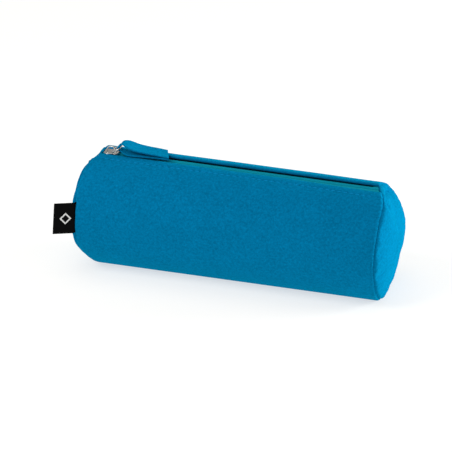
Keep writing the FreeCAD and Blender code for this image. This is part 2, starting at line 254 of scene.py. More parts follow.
# Brushed, heathered fabric: a mottled felt of short fibres over a close weave
def feltMaterial(name, colour, lightness):
    material, add, toShader = nodeTree(
        name, 0.9, colour, Sheen_Weight=felt["sheen"], Sheen_Roughness=0.5,
        Sheen_Tint=felt["sheenTint"], Specular_IOR_Level=0.0)
    place = add("ShaderNodeTexCoord").node.outputs["Object"]
    blotch = add("ShaderNodeTexNoise", {"Vector": place, "Scale": felt["blotches"], "Detail": 2})
    mottle = add("ShaderNodeTexNoise", {"Vector": place, "Scale": felt["mottling"], "Detail": 3,
                                        "Roughness": 0.6})
    slub = add("ShaderNodeTexNoise", {"Vector": clothCoordinates(add, felt["slubs"]), "Scale": 1,
                                      "Detail": 3})
    fibreOne = add("ShaderNodeTexNoise", {"Vector": clothCoordinates(add, felt["fibresAlong"]),
                                          "Scale": 1})
    fibreTwo = add("ShaderNodeTexNoise", {"Vector": clothCoordinates(add, felt["fibresAcross"]),
                                          "Scale": 1})
    weft = add("ShaderNodeTexWave", {"Vector": clothCoordinates(add, (1, 1, 1)), "Scale": felt["weft"],
                                     "Distortion": felt["wander"], "Detail": 1}, bands_direction="X")
    warp = add("ShaderNodeTexWave", {"Vector": clothCoordinates(add, (1, 1, 1)), "Scale": felt["warp"],
                                     "Distortion": felt["wander"], "Detail": 1}, bands_direction="Y")
    weave = add("ShaderNodeMath", {0: weft, 1: warp}, operation="MULTIPLY")
    fibres = add("ShaderNodeMath", {0: fibreOne, 1: fibreTwo}, operation="ADD")
    grain = add("ShaderNodeMath", {0: weave, 1: 0.25, 2: fibres}, operation="MULTIPLY_ADD")
    cloud = add("ShaderNodeMath", {0: blotch, 1: 0.2, 2: mottle}, operation="MULTIPLY_ADD")
    cloud = add("ShaderNodeMath", {0: slub, 1: 0.25, 2: cloud}, operation="MULTIPLY_ADD")
    tone = add("ShaderNodeMath", {0: grain, 1: 0.6, 2: cloud}, operation="MULTIPLY_ADD")
    dark, light = shade(colour, 1 - lightness), shade(colour, 1 + lightness)
    toShader("Base Color", ramp(add, tone, *felt["toneSpan"], dark, light))
    smooth, rough = felt["roughness"]
    toShader("Roughness", add("ShaderNodeMapRange", {0: fibres, 1: 0.8, 2: 1.2, 3: smooth, 4: rough}))
    relief = add("ShaderNodeMath", {0: mottle, 1: 1.2, 2: grain}, operation="MULTIPLY_ADD")
    toShader("Normal", add("ShaderNodeBump", {"Strength": 0.5, "Distance": felt["nap"], "Height": relief}))
    return material


# Tight woven tape with ribs a fraction of a millimetre apart.
def ribbedMaterial(name, colour, ribs, direction, depth, roughness, sheen, gloss):
    material, add, toShader = nodeTree(
        name, roughness, colour, Sheen_Weight=sheen, Sheen_Roughness=0.4, Specular_IOR_Level=gloss)
    place = clothCoordinates(add, (1, 1, 1))
    rib = add("ShaderNodeTexWave", {"Vector": place, "Scale": ribs, "Distortion": 0.6, "Detail": 1,
                                    "Detail Scale": 3}, bands_direction=direction)
    pick = add("ShaderNodeTexNoise", {"Vector": clothCoordinates(add, (1400, 1400, 1)), "Scale": 1,
                                      "Detail": 2, "Roughness": 0.6})
    height = add("ShaderNodeMath", {0: pick, 1: 0.7, 2: rib}, operation="MULTIPLY_ADD")
    toShader("Base Color", ramp(add, height, 0.1, 1.5, shade(colour, 0.6), shade(colour, 1.3)))
    toShader("Normal", add("ShaderNodeBump", {"Strength": 0.6, "Distance": depth, "Height": height}))
    return material


# Twisted sewing thread.
def threadMaterial(name, colour):
    material, add, toShader = nodeTree(name, 0.6, colour, Specular_IOR_Level=0.05)
    place = add("ShaderNodeTexCoord").node.outputs["Object"]
    ply = add("ShaderNodeTexWave", {"Vector": place, "Scale": 700, "Distortion": 0.4},
              bands_direction="DIAGONAL")
    toShader("Base Color", ramp(add, ply, 0, 1, shade(colour, 0.75), shade(colour, 1.15)))
    toShader("Normal", add("ShaderNodeBump", {"Strength": 0.4, "Distance": 0.00008, "Height": ply}))
    return material


# Plated die-cast metal, tumbled smooth, with fine handling marks.
def metalMaterial(name, colour, low, high):
    material, add, toShader = nodeTree(name, low, colour, Metallic=1, Specular_IOR_Level=0.5)
    place = add("ShaderNodeTexCoord").node.outputs["Object"]
    marks = add("ShaderNodeTexNoise", {"Vector": place, "Scale": 700, "Detail": 4, "Roughness": 0.7})
    toShader("Roughness", add("ShaderNodeMapRange", {0: marks, 1: 0.3, 2: 0.75, 3: low, 4: high}))
    toShader("Base Color", ramp(add, marks, 0.3, 0.75, shade(colour, 0.9), colour))
    toShader("Normal", add("ShaderNodeBump", {"Strength": 0.12, "Distance": 0.00003, "Height": marks}))
    return material


# Moulded nylon, a little glossy.
def nylonMaterial(name, colour):
    material, add, toShader = nodeTree(name, 0.38, colour, Specular_IOR_Level=0.5)
    place = add("ShaderNodeTexCoord").node.outputs["Object"]
    haze = add("ShaderNodeTexNoise", {"Vector": place, "Scale": 1200, "Detail": 3})
    toShader("Base Color", ramp(add, haze, 0.3, 0.7, shade(colour, 0.85), shade(colour, 1.15)))
    toShader("Roughness", add("ShaderNodeMapRange", {0: haze, 1: 0.3, 2: 0.7, 3: 0.3, 4: 0.5}))
    return material


finishes = {
    "blue": (0.0006, 0.172, 0.365),
    "tape": (0.002, 0.26, 0.36),
    "coil": (0.001, 0.04, 0.085),
    "binding": (0.004, 0.02, 0.04),
    "label": (0.0015, 0.0015, 0.0017),
    "mark": (0.78, 0.78, 0.76),
    "nickel": (0.66, 0.64, 0.6),
}
caseFelt = feltMaterial("caseFelt", finishes["blue"], 0.3)
zipTapeWeave = ribbedMaterial("zipTapeWeave", finishes["tape"], 630, "Y", 0.00012, 0.8, 0, 0.03)
bindingWeave = ribbedMaterial("bindingWeave", finishes["binding"], 600, "X", 0.00012, 0.85, 0, 0.05)
labelSatin = ribbedMaterial("labelSatin", finishes["label"], 1200, "Y", 0.00005, 0.6, 0, 0.05)
markThread = ribbedMaterial("markThread", finishes["mark"], 1000, "Y", 0.00006, 0.6, 0, 0.2)
tonalThread = threadMaterial("tonalThread", shade(finishes["blue"], 1.6))
coilNylon = nylonMaterial("coilNylon", finishes["coil"])
nickel = metalMaterial("nickel", finishes["nickel"], 0.18, 0.36)
print("materials made:", len(bpy.data.materials))


# The shape of the barrel: angles are from the top, positive towards the front

shape = {
    "roll": 0.0021,  # how far the fabric turns in at the end seams
    "flatSoftness": 0.0007,
    # how far each end seam is drawn in, by degrees from the top, round the back, front and foot
    "leftSeam": [(-180, 0.008), (-157, 0.008), (-140, 0.0055), (-125, 0.0022), (-105, 0), (-60, 0.0005),
                 (-30, 0.003), (-8, 0.0052), (5, 0.0048), (18, 0.0022), (30, -0.0003), (44, -0.0017),
                 (55, -0.002), (80, -0.0015), (108, -0.0007), (125, 0.0022), (140, 0.0055), (157, 0.008),
                 (180, 0.008)],
    "rightSeam": [(-180, 0.0035), (-135, 0.005), (-90, 0.0038), (-45, 0.0084), (-15, 0.0098), (0, 0.0073),
                  (8, 0.0044), (20, 0.0014), (30, -0.0001), (60, -0.0005), (90, 0), (115, 0.0003),
                  (150, 0.0016), (180, 0.0035)],
    "pullStart": 0.45,  # share of the half length where the ends' pull starts
    "pullPower": 2.4,
    "swell": 0.0004,
    "swellScale": 22,
    "crown": (14, 40, 130, 155),  # degrees between which the cloth swells and puckers
    "pucker": 0.000448,
    "puckerReach": 0.006,
}


# The barrel is round, but lies on a flattened base.
def flatten(angle, radius):
    down = -math.cos(angle)
    if down < 0.4:
        return radius
    flat = (axisHeight - barrelRadius + radius) / down
    return (radius + flat - math.sqrt((radius - flat) ** 2 + shape["flatSoftness"] ** 2)) / 2


# How far the end seam is drawn in along the case.
def seamShift(side, angle):
    degrees = (math.degrees(angle) + 180) % 360 - 180
    return along(shape["rightSeam" if side > 0 else "leftSeam"], degrees)


# Small gathers that fade with the distance from the seam.
def puckers(side, angle, away):
    wave = noise.noise(Vector((angle * 5.5, 3.1 * side, 0.5)))
    wave += 0.6 * noise.noise(Vector((angle * 15, side, 7)))
    return shape["pucker"] * wave * math.exp(-away / shape["puckerReach"])


# Where the point of the smooth barrel at x, angle and radius lies on the soft one.
def barrelPoint(x, angle, radius):
    side = 1 if x > 0 else -1
    away = max(0, seamX - abs(x))
    start = shape["pullStart"]
    pull = max(0, (abs(x) / seamX - start) / (1 - start)) ** shape["pullPower"]
    roll = shape["roll"]
    turn = max(0, 1 - away / roll)
    inward = roll * (1 - math.sqrt(1 - min(1, turn) ** 2))
    spot = Vector((x * shape["swellScale"], math.sin(angle) * 1.5, math.cos(angle) * 1.5))
    soft = noise.noise(spot)
    degrees = abs(math.degrees(angle))
    crownStart, crownFull, crownFade, crownEnd = shape["crown"]
    crown = smoothStep(degrees, crownStart, crownFull) * (1 - smoothStep(degrees, crownFade, crownEnd))
    size = radius - inward + shape["swell"] * soft * crown + puckers(side, angle, away) * crown
    size = flatten(angle, size)
    return Vector((x - side * seamShift(side, angle) * pull, -size * math.sin(angle),
                   axisHeight + size * math.cos(angle)))


# Barrel fabric: front and back, each with its hem folded under beside the zip

panel = {
    "cloth": 0.0009,
    "foldRadius": 0.0005,
    "foldedEdge": 0.006,  # from the zip's middle, at the right end
    "closer": {1: 0.0014, -1: -0.0006},  # how much closer over the rest, at the front and the back
    "hemReturn": 0.009,
    "stitchLine": 0.005,  # from the folded edge
    "stitchPitch": 0.0043,
    "stitchDepth": 0.00045,
    "stitchGroove": 0.0009,
    "hemPuff": 0.00028,
    "spread": (0.03, 0.09),  # where the hems spread to their right end's width
    "columns": 280,
    "arcRows": 100,
    "fineRows": 34,  # of those, the ones in the last stretch before the fold
    "fineStretch": 0.014,
    "foldRows": 8,
    "hemRows": 6,
    "baseRows": 24,
}


# Angle of the folded edge at x.
def foldAngle(side, x):
    edge = panel["foldedEdge"] - panel["closer"][side] * (1 - smoothStep(x, *panel["spread"]))
    return math.asin((edge + panel["foldRadius"]) / barrelRadius)


# The top stitching sinks into the cloth, and the hem puffs a little between it and the edge.
def hemShape(x, fromEdge):
    groove = math.exp(-((fromEdge - panel["stitchLine"]) / panel["stitchGroove"]) ** 2)
    beat = 0.55 + 0.45 * math.cos(2 * math.pi * x / panel["stitchPitch"])
    puff = math.sin(math.pi * min(1, fromEdge / panel["stitchLine"]))
    wave = 0.5 + 0.5 * noise.noise(Vector((x * 90, 4, fromEdge * 60)))
    return panel["hemPuff"] * puff * wave - panel["stitchDepth"] * groove * beat


def makePanel(side):
    word, lower, lip = lips[side]
    radius = barrelRadius - panel["cloth"] / 2
    fold = math.pi * panel["foldRadius"]
    rows = panel["arcRows"] + panel["foldRows"] + panel["hemRows"]

    def place(u, v):
        x = seamX * (2 * u - 1)
        edge = foldAngle(side, x)
        arc = (footAngle - edge) * radius
        row = v * rows
        if row <= panel["arcRows"]:
            coarse = panel["arcRows"] - panel["fineRows"]
            length = arc - panel["fineStretch"] * (panel["arcRows"] - row) / panel["fineRows"]
            if row < coarse:
                length = (arc - panel["fineStretch"]) * row / coarse
            angle, size = footAngle - length / radius, radius
            size += hemShape(x, arc - length)
        elif row <= panel["arcRows"] + panel["foldRows"]:
            turn = math.pi * (row - panel["arcRows"]) / panel["foldRows"]
            length = arc + panel["foldRadius"] * turn
            angle = edge - math.sin(turn) * panel["foldRadius"] / radius
            size = radius - panel["foldRadius"] * (1 - math.cos(turn))
        else:
            back = panel["hemReturn"] * (row - panel["arcRows"] - panel["foldRows"]) / panel["hemRows"]
            length = arc + fold + back
            angle, size = edge + back / radius, radius - 2 * panel["foldRadius"]
        return barrelPoint(x, side * angle, size), Vector((x, length, 0))

    obj = meshObject("barrel" + word, gridSheet(panel["columns"], rows, place), caseFelt)
    parts = halves(thicken(obj, panel["cloth"]), mouthMiddle)
    onLip(parts, lip, "case_fabric", lower + "_panel")


def makeBase():
    radius = barrelRadius - panel["cloth"] / 2
    turn = math.pi - footAngle
    width = 2 * turn * radius

    def place(u, v):
        x = seamX * (2 * u - 1)
        angle = footAngle + 2 * turn * v
        signed = angle if angle <= math.pi else angle - 2 * math.pi
        return barrelPoint(x, signed, radius), Vector((x, -width * v, 0))

    obj = meshObject("barrelBase", gridSheet(panel["columns"], panel["baseRows"], place), caseFelt)
    thicken(obj, panel["cloth"])
    onBody(obj, "case", "case_fabric", "base_panel")


makeBase()
for side in lips:
    makePanel(side)
print("barrel fabric made")


# Top stitching: one small stitch after another, sunk in the groove

stitch = {"length": 0.0031, "width": 0.0006, "height": 0.0005, "sink": 0.00012, "slant": 0.08,
          "margin": 0.002}


# The two halves of each row of small pieces, as (name, lowest x, highest x)
def zipHalves(margin):
    return ("Left", margin - zipEnd, mouthMiddle), ("Right", mouthMiddle, zipEnd - margin)


def makeStitches(side):
    word, lower, lip = lips[side]
    parts = []
    for name, low, high in zipHalves(stitch["margin"]):
        bm = bmesh.new()
        first = math.ceil(low / panel["stitchPitch"] - 0.5)
        last = math.floor(high / panel["stitchPitch"] - 0.5)
        for number in range(first, last + 1):
            x = (number + 0.5) * panel["stitchPitch"]
            angle = side * (foldAngle(side, x) + panel["stitchLine"] / barrelRadius)
            lean = side * stitch["slant"] * noise.noise(Vector((x * 400, side, 0)))
            for vert in bmesh.ops.create_uvsphere(bm, u_segments=6, v_segments=8, radius=0.5)["verts"]:
                out, across, lengthways = vert.co
                step = lengthways * stitch["length"]
                height = out * stitch["height"] * (1 - 0.5 * abs(lengthways))
                size = barrelRadius - stitch["sink"] + height
                turn = (across * stitch["width"] + lean * step) / barrelRadius
                vert.co = barrelPoint(x + step, angle + turn, size)
        parts.append(meshObject("topStitch" + word + name, bm, tonalThread))
    onLip(parts, lip, "sewing_thread", "topstitch_" + lower)


for side in lips:
    makeStitches(side)
print("top stitching made")


# End panels: round, puffed at the rim, turned in at the seam and drawn in beside the zip

disc = {
    "cloth": 0.0009,
    "valley": 0.0021,  # how deep the seam lies
    "allowance": 0.005,
    "margin": 0.006,  # of the flat round, for the seam
    "seamGap": 0.0003,
    "rise": {-1: 0.0071, 1: 0.0057},  # of the left and right middles
    "roundness": 1.5,  # of the middle, where 2 is an ellipse
    "fullness": {-1: 2.9, 1: 2.6},  # of the rims
    "pullPower": 1.4,
    "spokes": 168,
    "rings": 44,
    "ringSpacing": 1.15,
    "pucker": {-1: 0.0004, 1: 0.0009},
    # degrees, depth in mm, their spread
    "creases": [(17, 2, 4), (-28, 1.5, 5), (52, 0.8, 5), (78, 0.7, 5), (106, 0.9, 6)],
    "creaseShare": (0.66, 0.95),  # of the radius, where they start and are deepest
    # degrees, their spread, distance from the axis, depth, width
    "ringFold": (-12, 19, 0.0325, 0.0032, 0.0014),
    # where each end is flatter: degrees, their spread, share of the radius, depth
    "slump": {-1: (25, 38, 0.82, 0.0026), 1: (-150, 50, 0.55, 0.0019)},
    "slumpWidth": 0.35,
    "swell": 0.0005,
}


# From the seam allowance over the rim to the middle, as (outwards, from the axis)
def discProfile(side):
    tuck = barrelRadius - disc["valley"]
    gap = disc["seamGap"]
    rise, fullness = disc["rise"][side], disc["fullness"][side]
    points = [(gap, tuck - disc["allowance"] * (1 - step / 5)) for step in range(5)]
    for step in range(disc["rings"] + 1):
        turn = math.pi / 2 * (step / disc["rings"]) ** disc["ringSpacing"]
        radius = tuck * math.cos(turn) ** (2 / disc["roundness"])
        points.append((gap + rise * math.sin(turn) ** (2 / fullness), radius))
    points[-1] = (points[-1][0], 0)
    return points


def discPoint(side, out, radius, angle):
    share = min(1, radius / (barrelRadius - disc["valley"]))
    drawn = seamShift(side, angle) * share ** disc["pullPower"]
    degrees = math.degrees(angle)
    free = smoothStep(out, 0.0004, 0.003)  # the allowance inside stays flat
    wave = noise.noise(Vector((angle * 4.3, 9 * side, 2)))
    wave += 0.7 * noise.noise(Vector((angle * 11, side, 5)))
    lift = disc["pucker"][side] * wave * share ** 6 * free
    strength = smoothStep(share, *disc["creaseShare"]) * free * disc["pucker"][side] / disc["pucker"][1]
    for spot, depth, spread in disc["creases"]:
        lift -= depth / 1000 * math.exp(-((degrees - spot) / spread) ** 2) * strength
    spot, spread, ring, depth, width = disc["ringFold"]
    if side > 0:
        across = math.exp(-((degrees - spot) / spread) ** 2)
        lift -= depth * across * math.exp(-((radius - ring) / width) ** 2) * free
    spot, spread, ring, depth = disc["slump"][side]
    away = (degrees - spot + 180) % 360 - 180
    lift -= depth * math.exp(-(away / spread) ** 2 - ((share - ring) / disc["slumpWidth"]) ** 2) * free
    soft = noise.noise(Vector((radius * math.sin(angle) * 45, radius * math.cos(angle) * 45, side)))
    size = radius * flatten(angle, barrelRadius) / barrelRadius
    x = side * (seamX - drawn + out + lift + disc["swell"] * soft * share)
    return Vector((x, -size * math.sin(angle), axisHeight + size * math.cos(angle)))


def makeDisc(side):
    word = "Right" if side > 0 else "Left"
    bm = bmesh.new()
    cloth = bm.verts.layers.float_vector.new("cloth")
    profile = [bm.verts.new((out, 0, radius)) for out, radius in discProfile(side)]
    edges = [bm.edges.new(pair) for pair in zip(profile, profile[1:])]
    bmesh.ops.spin(bm, geom=profile + edges, cent=(0, 0, 0), axis=(1, 0, 0), dvec=(0, 0, 0),
                   angle=2 * math.pi, steps=disc["spokes"], use_merge=True, use_duplicate=False)
    bmesh.ops.remove_doubles(bm, verts=bm.verts, dist=1e-6)
    for vert in bm.verts:
        out, radius = vert.co.x, math.hypot(vert.co.y, vert.co.z)
        angle = math.atan2(-vert.co.y, vert.co.z)
        vert[cloth] = Vector((vert.co.y, vert.co.z, 0))
        vert.co = discPoint(side, out, radius, angle)
    obj = meshObject("endPanel" + word, bm, caseFelt)
    thicken(obj, disc["cloth"])
    onBody(obj, "case", "case_fabric", "end_panel_" + word.lower())


for side in (-1, 1):
    makeDisc(side)
print("end panels made")


# Seam bindings: woven tape folded round the seam allowances inside each end

binding = {
    "outside": 0.00285,  # from the barrel's surface to the tape
    "deep": 0.0025,
    "wide": 0.006,
    "round": 0.0009,
    "ripple": 0.0003,
    "spokes": 128,
    "cut": 0.0102,
}


def makeBinding(side):
    word = "Right" if side > 0 else "Left"
    bm = bmesh.new()
    cloth = bm.verts.layers.float_vector.new("cloth")
    top = barrelRadius - binding["outside"]
    bmesh.ops.create_grid(bm, x_segments=1, y_segments=1, size=0.5)
    bmesh.ops.rotate(bm, verts=bm.verts, cent=(0, 0, 0), matrix=Matrix.Rotation(math.pi / 2, 3, "X"))
    bmesh.ops.scale(bm, verts=bm.verts, vec=(binding["wide"], 1, binding["deep"]))
    bmesh.ops.translate(bm, verts=bm.verts, vec=(-binding["wide"] / 2, 0, top - binding["deep"] / 2))
    bmesh.ops.bevel(bm, geom=bm.verts[:], offset=binding["round"], affect="VERTICES", segments=4,
                    profile=0.5, material=-1)
    bmesh.ops.delete(bm, geom=bm.faces[:], context="FACES_ONLY")
    bmesh.ops.spin(bm, geom=bm.verts[:] + bm.edges[:], cent=(0, 0, 0), axis=(1, 0, 0), dvec=(0, 0, 0),
                   angle=2 * math.pi, steps=binding["spokes"], use_merge=True, use_duplicate=False)
    bmesh.ops.remove_doubles(bm, verts=bm.verts, dist=1e-6)
    for vert in bm.verts:
        out, radius = vert.co.x, math.hypot(vert.co.y, vert.co.z)
        angle = math.atan2(-vert.co.y, vert.co.z)
        vert[cloth] = Vector((angle * radius, out * 2 + radius, 0))
        ripple = binding["ripple"] * noise.noise(Vector((angle * 9, out * 300, side)))
        size = flatten(angle, radius + ripple)
        vert.co = Vector((side * (seamX - seamShift(side, angle) + out), -size * math.sin(angle),
                          axisHeight + size * math.cos(angle)))
    obj = meshObject("seamBinding" + word, bm, bindingWeave)
    onBody(obj, "case", "binding_tape", "seam_binding_" + word.lower())


for side in (-1, 1):
    makeBinding(side)
print("seam bindings made")


# Zip: two tapes that meet over a coil, which is on the inside

zipper = {
    "tapeThickness": 0.0005,
    "tapeWidth": 0.0135,
    "tapeDrop": 0.00218,  # middle of the tape below the barrel's surface
    "gap": 0.00018,
    "edgeRoll": 0.0007,
    "rollWidth": 0.0009,
    "ridge": 0.00018,  # over the coil, which lifts the tape
    "ridgeRipple": 0.00004,
    "ridgeAt": 0.0022,
    "ridgeWidth": 0.0009,
    "sag": 0.0013,  # beyond the coil, which leaves a dark slot under the hems
    "sagSpan": (0.003, 0.0052),
    "sagEnds": (0.002, 0.012),  # from the end seams, where it starts
    "columns": 300,
    "rows": 26,
    "coilPitch": 0.0013,
    "coilWire": 0.0003,
    "coilReach": 0.0029,
    "coilOverlap": 0.00045,
    "coilDrop": 0.0034,
    "coilFlatness": 0.55,
    "coilSlant": 0.16,
    "coilMargin": 0.001,
}


def makeTape(side):
    word, lower, lip = lips[side]
    radius = barrelRadius - zipper["tapeDrop"]

    def place(u, v):
        x = seamX * (2 * u - 1)
        across = zipper["gap"] + zipper["tapeWidth"] * v ** 1.6
        dip = zipper["edgeRoll"] * max(0, 1 - (across - zipper["gap"]) / zipper["rollWidth"]) ** 2
        overCoil = math.exp(-((across - zipper["ridgeAt"]) / zipper["ridgeWidth"]) ** 2)
        beat = math.cos(2 * math.pi * x / zipper["coilPitch"])
        ridge = overCoil * (zipper["ridge"] + zipper["ridgeRipple"] * beat)
        sag = zipper["sag"] * smoothStep(across, *zipper["sagSpan"])
        sag *= smoothStep(seamX - abs(x), *zipper["sagEnds"])
        return barrelPoint(x, side * across / radius, radius - dip + ridge - sag), Vector((x, across, 0))

    sheet = gridSheet(zipper["columns"], zipper["rows"], place)
    obj = meshObject("zipTape" + word, sheet, zipTapeWeave)
    parts = halves(thicken(obj, zipper["tapeThickness"]), mouthMiddle)
    onLip(parts, lip, "zip_tape", "zip_tape_" + lower)


# A row of nylon loops, each a flattened ring that reaches a little past the middle.
def makeCoil(side):
    word, lower, lip = lips[side]
    radius = barrelRadius - zipper["coilDrop"]
    ring = (zipper["coilReach"] + zipper["coilOverlap"]) / 2
    parts = []
    for name, low, high in zipHalves(zipper["coilMargin"]):
        bm = bmesh.new()
        first = math.ceil(low / zipper["coilPitch"] - 0.25 * side)
        last = math.floor(high / zipper["coilPitch"] - 0.25 * side)
        for number in range(first, last + 1):
            x = (number + 0.25 * side) * zipper["coilPitch"]
            before = set(bm.verts)
            wire = bmesh.ops.create_circle(bm, segments=5, radius=zipper["coilWire"])["verts"]
            bmesh.ops.rotate(bm, verts=wire, cent=(0, 0, 0), matrix=Matrix.Rotation(math.pi / 2, 3, "X"))
            bmesh.ops.translate(bm, verts=wire, vec=(ring - zipper["coilWire"], 0, 0))
            loop = wire + list({edge for vert in wire for edge in vert.link_edges})
            bmesh.ops.spin(bm, geom=loop, cent=(0, 0, 0), axis=(0, 0, 1), dvec=(0, 0, 0),
                           angle=2 * math.pi, steps=10, use_merge=True, use_duplicate=False)
            for vert in [vert for vert in bm.verts if vert not in before]:
                reach, rise, width = vert.co.x, vert.co.y * zipper["coilFlatness"], vert.co.z
                across = side * (zipper["coilReach"] - ring + reach)
                middle = barrelPoint(x + width + zipper["coilSlant"] * reach, 0, radius)
                vert.co = middle + Vector((0, -across, rise))
        bmesh.ops.remove_doubles(bm, verts=bm.verts, dist=1e-6)
        parts.append(meshObject("zipCoil" + word + name, bm, coilNylon))
    onLip(parts, lip, "zip_coil", "zip_coil_" + lower)


for side in lips:
    makeTape(side)
    makeCoil(side)
print("zip made")


# Slider: two shield-shaped plates joined by a wedge, with rails along their sides

slider = {
    "plate": 0.0011,
    "outline": [(0, 0.0021), (0.1, 0.0034), (0.3, 0.0039), (0.62, 0.0033), (0.92, 0.003), (1, 0.0024)],
    "steps": 24,
    "edge": 0.00025,
    "railWidth": 0.0007,
    "railDepth": 0.0004,
    "railAt": 0.0023,  # from the middle
    "railEnds": (0.0022, 0.0006),  # from the plates' ends
    "nose": 0.0008,
    "wedgeLength": 0.0032,
    "wedgeWidth": 0.0026,
}


def addPlate(bm, bottom, top):
    before = set(bm.verts)
    bmesh.ops.create_grid(bm, x_segments=slider["steps"], y_segments=2, size=0.5)
    made = [vert for vert in bm.verts if vert not in before]
    for vert in made:
        share = vert.co.x + 0.5
        vert.co = (sliderLow.x + share * (sliderHigh.x - sliderLow.x),
                   2 * vert.co.y * along(slider["outline"], share), bottom)
    faces = list({face for vert in made for face in vert.link_faces})
    raised = bmesh.ops.extrude_face_region(bm, geom=faces)["geom"]
    lifted = [item for item in raised if isinstance(item, bmesh.types.BMVert)]
    bmesh.ops.translate(bm, verts=lifted, vec=(0, 0, top - bottom))


def addBlock(bm, low, high):
    made = bmesh.ops.create_cube(bm, size=1)["verts"]
    bmesh.ops.scale(bm, verts=made, vec=[b - a for a, b in zip(low, high)])
    bmesh.ops.translate(bm, verts=made, vec=[(a + b) / 2 for a, b in zip(low, high)])


def makeSlider():
    bm = bmesh.new()
    addPlate(bm, sliderHigh.z - slider["plate"], sliderHigh.z)
    addPlate(bm, sliderLow.z, sliderLow.z + slider["plate"])
    bmesh.ops.recalc_face_normals(bm, faces=bm.faces)
    width = slider["wedgeWidth"] / 2
    noseX = sliderLow.x + slider["nose"]
    overlap = slider["plate"] / 3
    addBlock(bm, (noseX, -width, sliderLow.z + overlap),
             (noseX + slider["wedgeLength"], width, sliderHigh.z - overlap))
    start, end = sliderLow.x + slider["railEnds"][0], sliderHigh.x - slider["railEnds"][1]
    topFace, lowFace = sliderHigh.z - slider["plate"], sliderLow.z + slider["plate"]
    for side in (-1, 1):
        near, far = sorted((side * slider["railAt"], side * (slider["railAt"] + slider["railWidth"])))
        addBlock(bm, (start, near, topFace - slider["railDepth"]), (end, far, topFace + overlap))
        addBlock(bm, (start, near, lowFace - overlap), (end, far, lowFace + slider["railDepth"]))
    roundEdges(bm, slider["edge"], 3)
    obj = meshObject("zipSlider", bm, nickel)
    onBody(obj, "slider", "nickel", "slider_body")


makeSlider()


# Arch: a flat bar bent over the slider, which holds the wire link

arch = {
    "thickness": 0.0007,
    "width": 0.0014,
    "round": 0.0003,
    "squareness": 0.8,
    "root": 0.0004,
    "rise": 0.0007,
    "steps": 32,
}


def makeArch():
    bm = bmesh.new()
    rise = archHigh.z - archLow.z + arch["rise"]
    reach = (archHigh.x - archLow.x) / 2
    bmesh.ops.create_grid(bm, x_segments=1, y_segments=1, size=0.5)
    bmesh.ops.scale(bm, verts=bm.verts, vec=(arch["thickness"], arch["width"], 1))
    bmesh.ops.bevel(bm, geom=bm.verts[:], offset=arch["round"], affect="VERTICES", segments=3, profile=0.5,
                    material=-1)
    bmesh.ops.translate(bm, verts=bm.verts, vec=(rise - arch["thickness"] / 2, 0, 0))
    bmesh.ops.spin(bm, geom=bm.verts[:] + bm.edges[:] + bm.faces[:], cent=(0, 0, 0), axis=(0, -1, 0),
                   dvec=(0, 0, 0), angle=math.pi, steps=arch["steps"], use_merge=False, use_duplicate=False)
    middle = (archHigh.x + archLow.x) / 2
    for vert in bm.verts:
        radius, turn = math.hypot(vert.co.x, vert.co.z), math.atan2(vert.co.z, vert.co.x)
        across, up = math.cos(turn), max(0, math.sin(turn))
        x = math.copysign(abs(across) ** arch["squareness"], across) * (radius + reach - rise)
        z = up ** arch["squareness"] * radius
        vert.co = (middle + x, vert.co.y, archLow.z + z - arch["root"] * (1 - min(1, up * 6)))
    obj = meshObject("sliderArch", bm, nickel)
    onBody(obj, "slider", "nickel", "slider_bridge")


makeArch()


# Link: a closed wire loop with rounded corners, between the arch and the fabric pull

link = {"wire": 0.00058, "corner": 0.0014, "halfWidth": 0.0036, "steps": 32, "wireSides": 12}


def makeLink():
    bm = bmesh.new()
    reach = stripPivot - linkPivot
    wire = bmesh.ops.create_circle(bm, segments=link["wireSides"], radius=link["wire"])["verts"]
    bmesh.ops.rotate(bm, verts=wire, cent=(0, 0, 0), matrix=Matrix.Rotation(math.pi / 2, 3, "X"))
    bmesh.ops.translate(bm, verts=wire, vec=(link["corner"], 0, 0))
    bmesh.ops.rotate(bm, verts=wire, cent=(0, 0, 0), matrix=Matrix.Rotation(math.pi / link["steps"], 3, "Z"))
    loop = bm.verts[:] + bm.edges[:]
    bmesh.ops.spin(bm, geom=loop, cent=(0, 0, 0), axis=(0, 0, 1), dvec=(0, 0, 0), angle=2 * math.pi,
                   steps=link["steps"], use_merge=True, use_duplicate=False)
    bmesh.ops.remove_doubles(bm, verts=bm.verts, dist=1e-6)
    for vert in bm.verts:
        turn = math.atan2(vert.co.y, vert.co.x)
        vert.co.x += math.copysign(reach.length / 2 - link["corner"], math.cos(turn))
        vert.co.y += math.copysign(link["halfWidth"] - link["corner"], math.sin(turn))
    tilt = Matrix.Rotation(-math.atan2(reach.z, reach.x), 3, "Y")
    bmesh.ops.rotate(bm, verts=bm.verts, cent=(0, 0, 0), matrix=tilt)
    bmesh.ops.translate(bm, verts=bm.verts, vec=(linkPivot + stripPivot) / 2)
    obj = meshObject("wireLink", bm, nickel)
    onBody(obj, "link", "nickel", "pull_link")


makeLink()


# Pull: a strip of the case's fabric, folded in two round the link's bar

pull = {
    "cloth": 0.0009,
    "loopRadius": 0.00125,  # to the middle of the cloth
    "leaveLow": 25,  # degrees below level where the lower layer leaves the bar
    "settle": 0.0062,  # along the strip until the lower layer lies flat
    "endMargin": 0.0004,
    "endGap": 0.0011,  # between the two layers at the free end, middle to middle
    "halfWidth": 0.0057,
    "askew": 0.0022,  # how far the free end lies to the back
    "slant": 0.0022,  # how much shorter the back edge is than the middle
    "hump": 0.0026,  # how far the upper layer springs up beside the loop
    "humpAt": 0.09,  # along it
    "ripple": 0.0003,
    "curl": 0.0002,  # how far the upper layer's edges turn up
    "shoulder": [(0, 0.0026), (0.0012, 0.0026), (0.0058, 0.0053), (0.0078, 0.0057)],
    "rows": 170,
    "columns": 14,
}


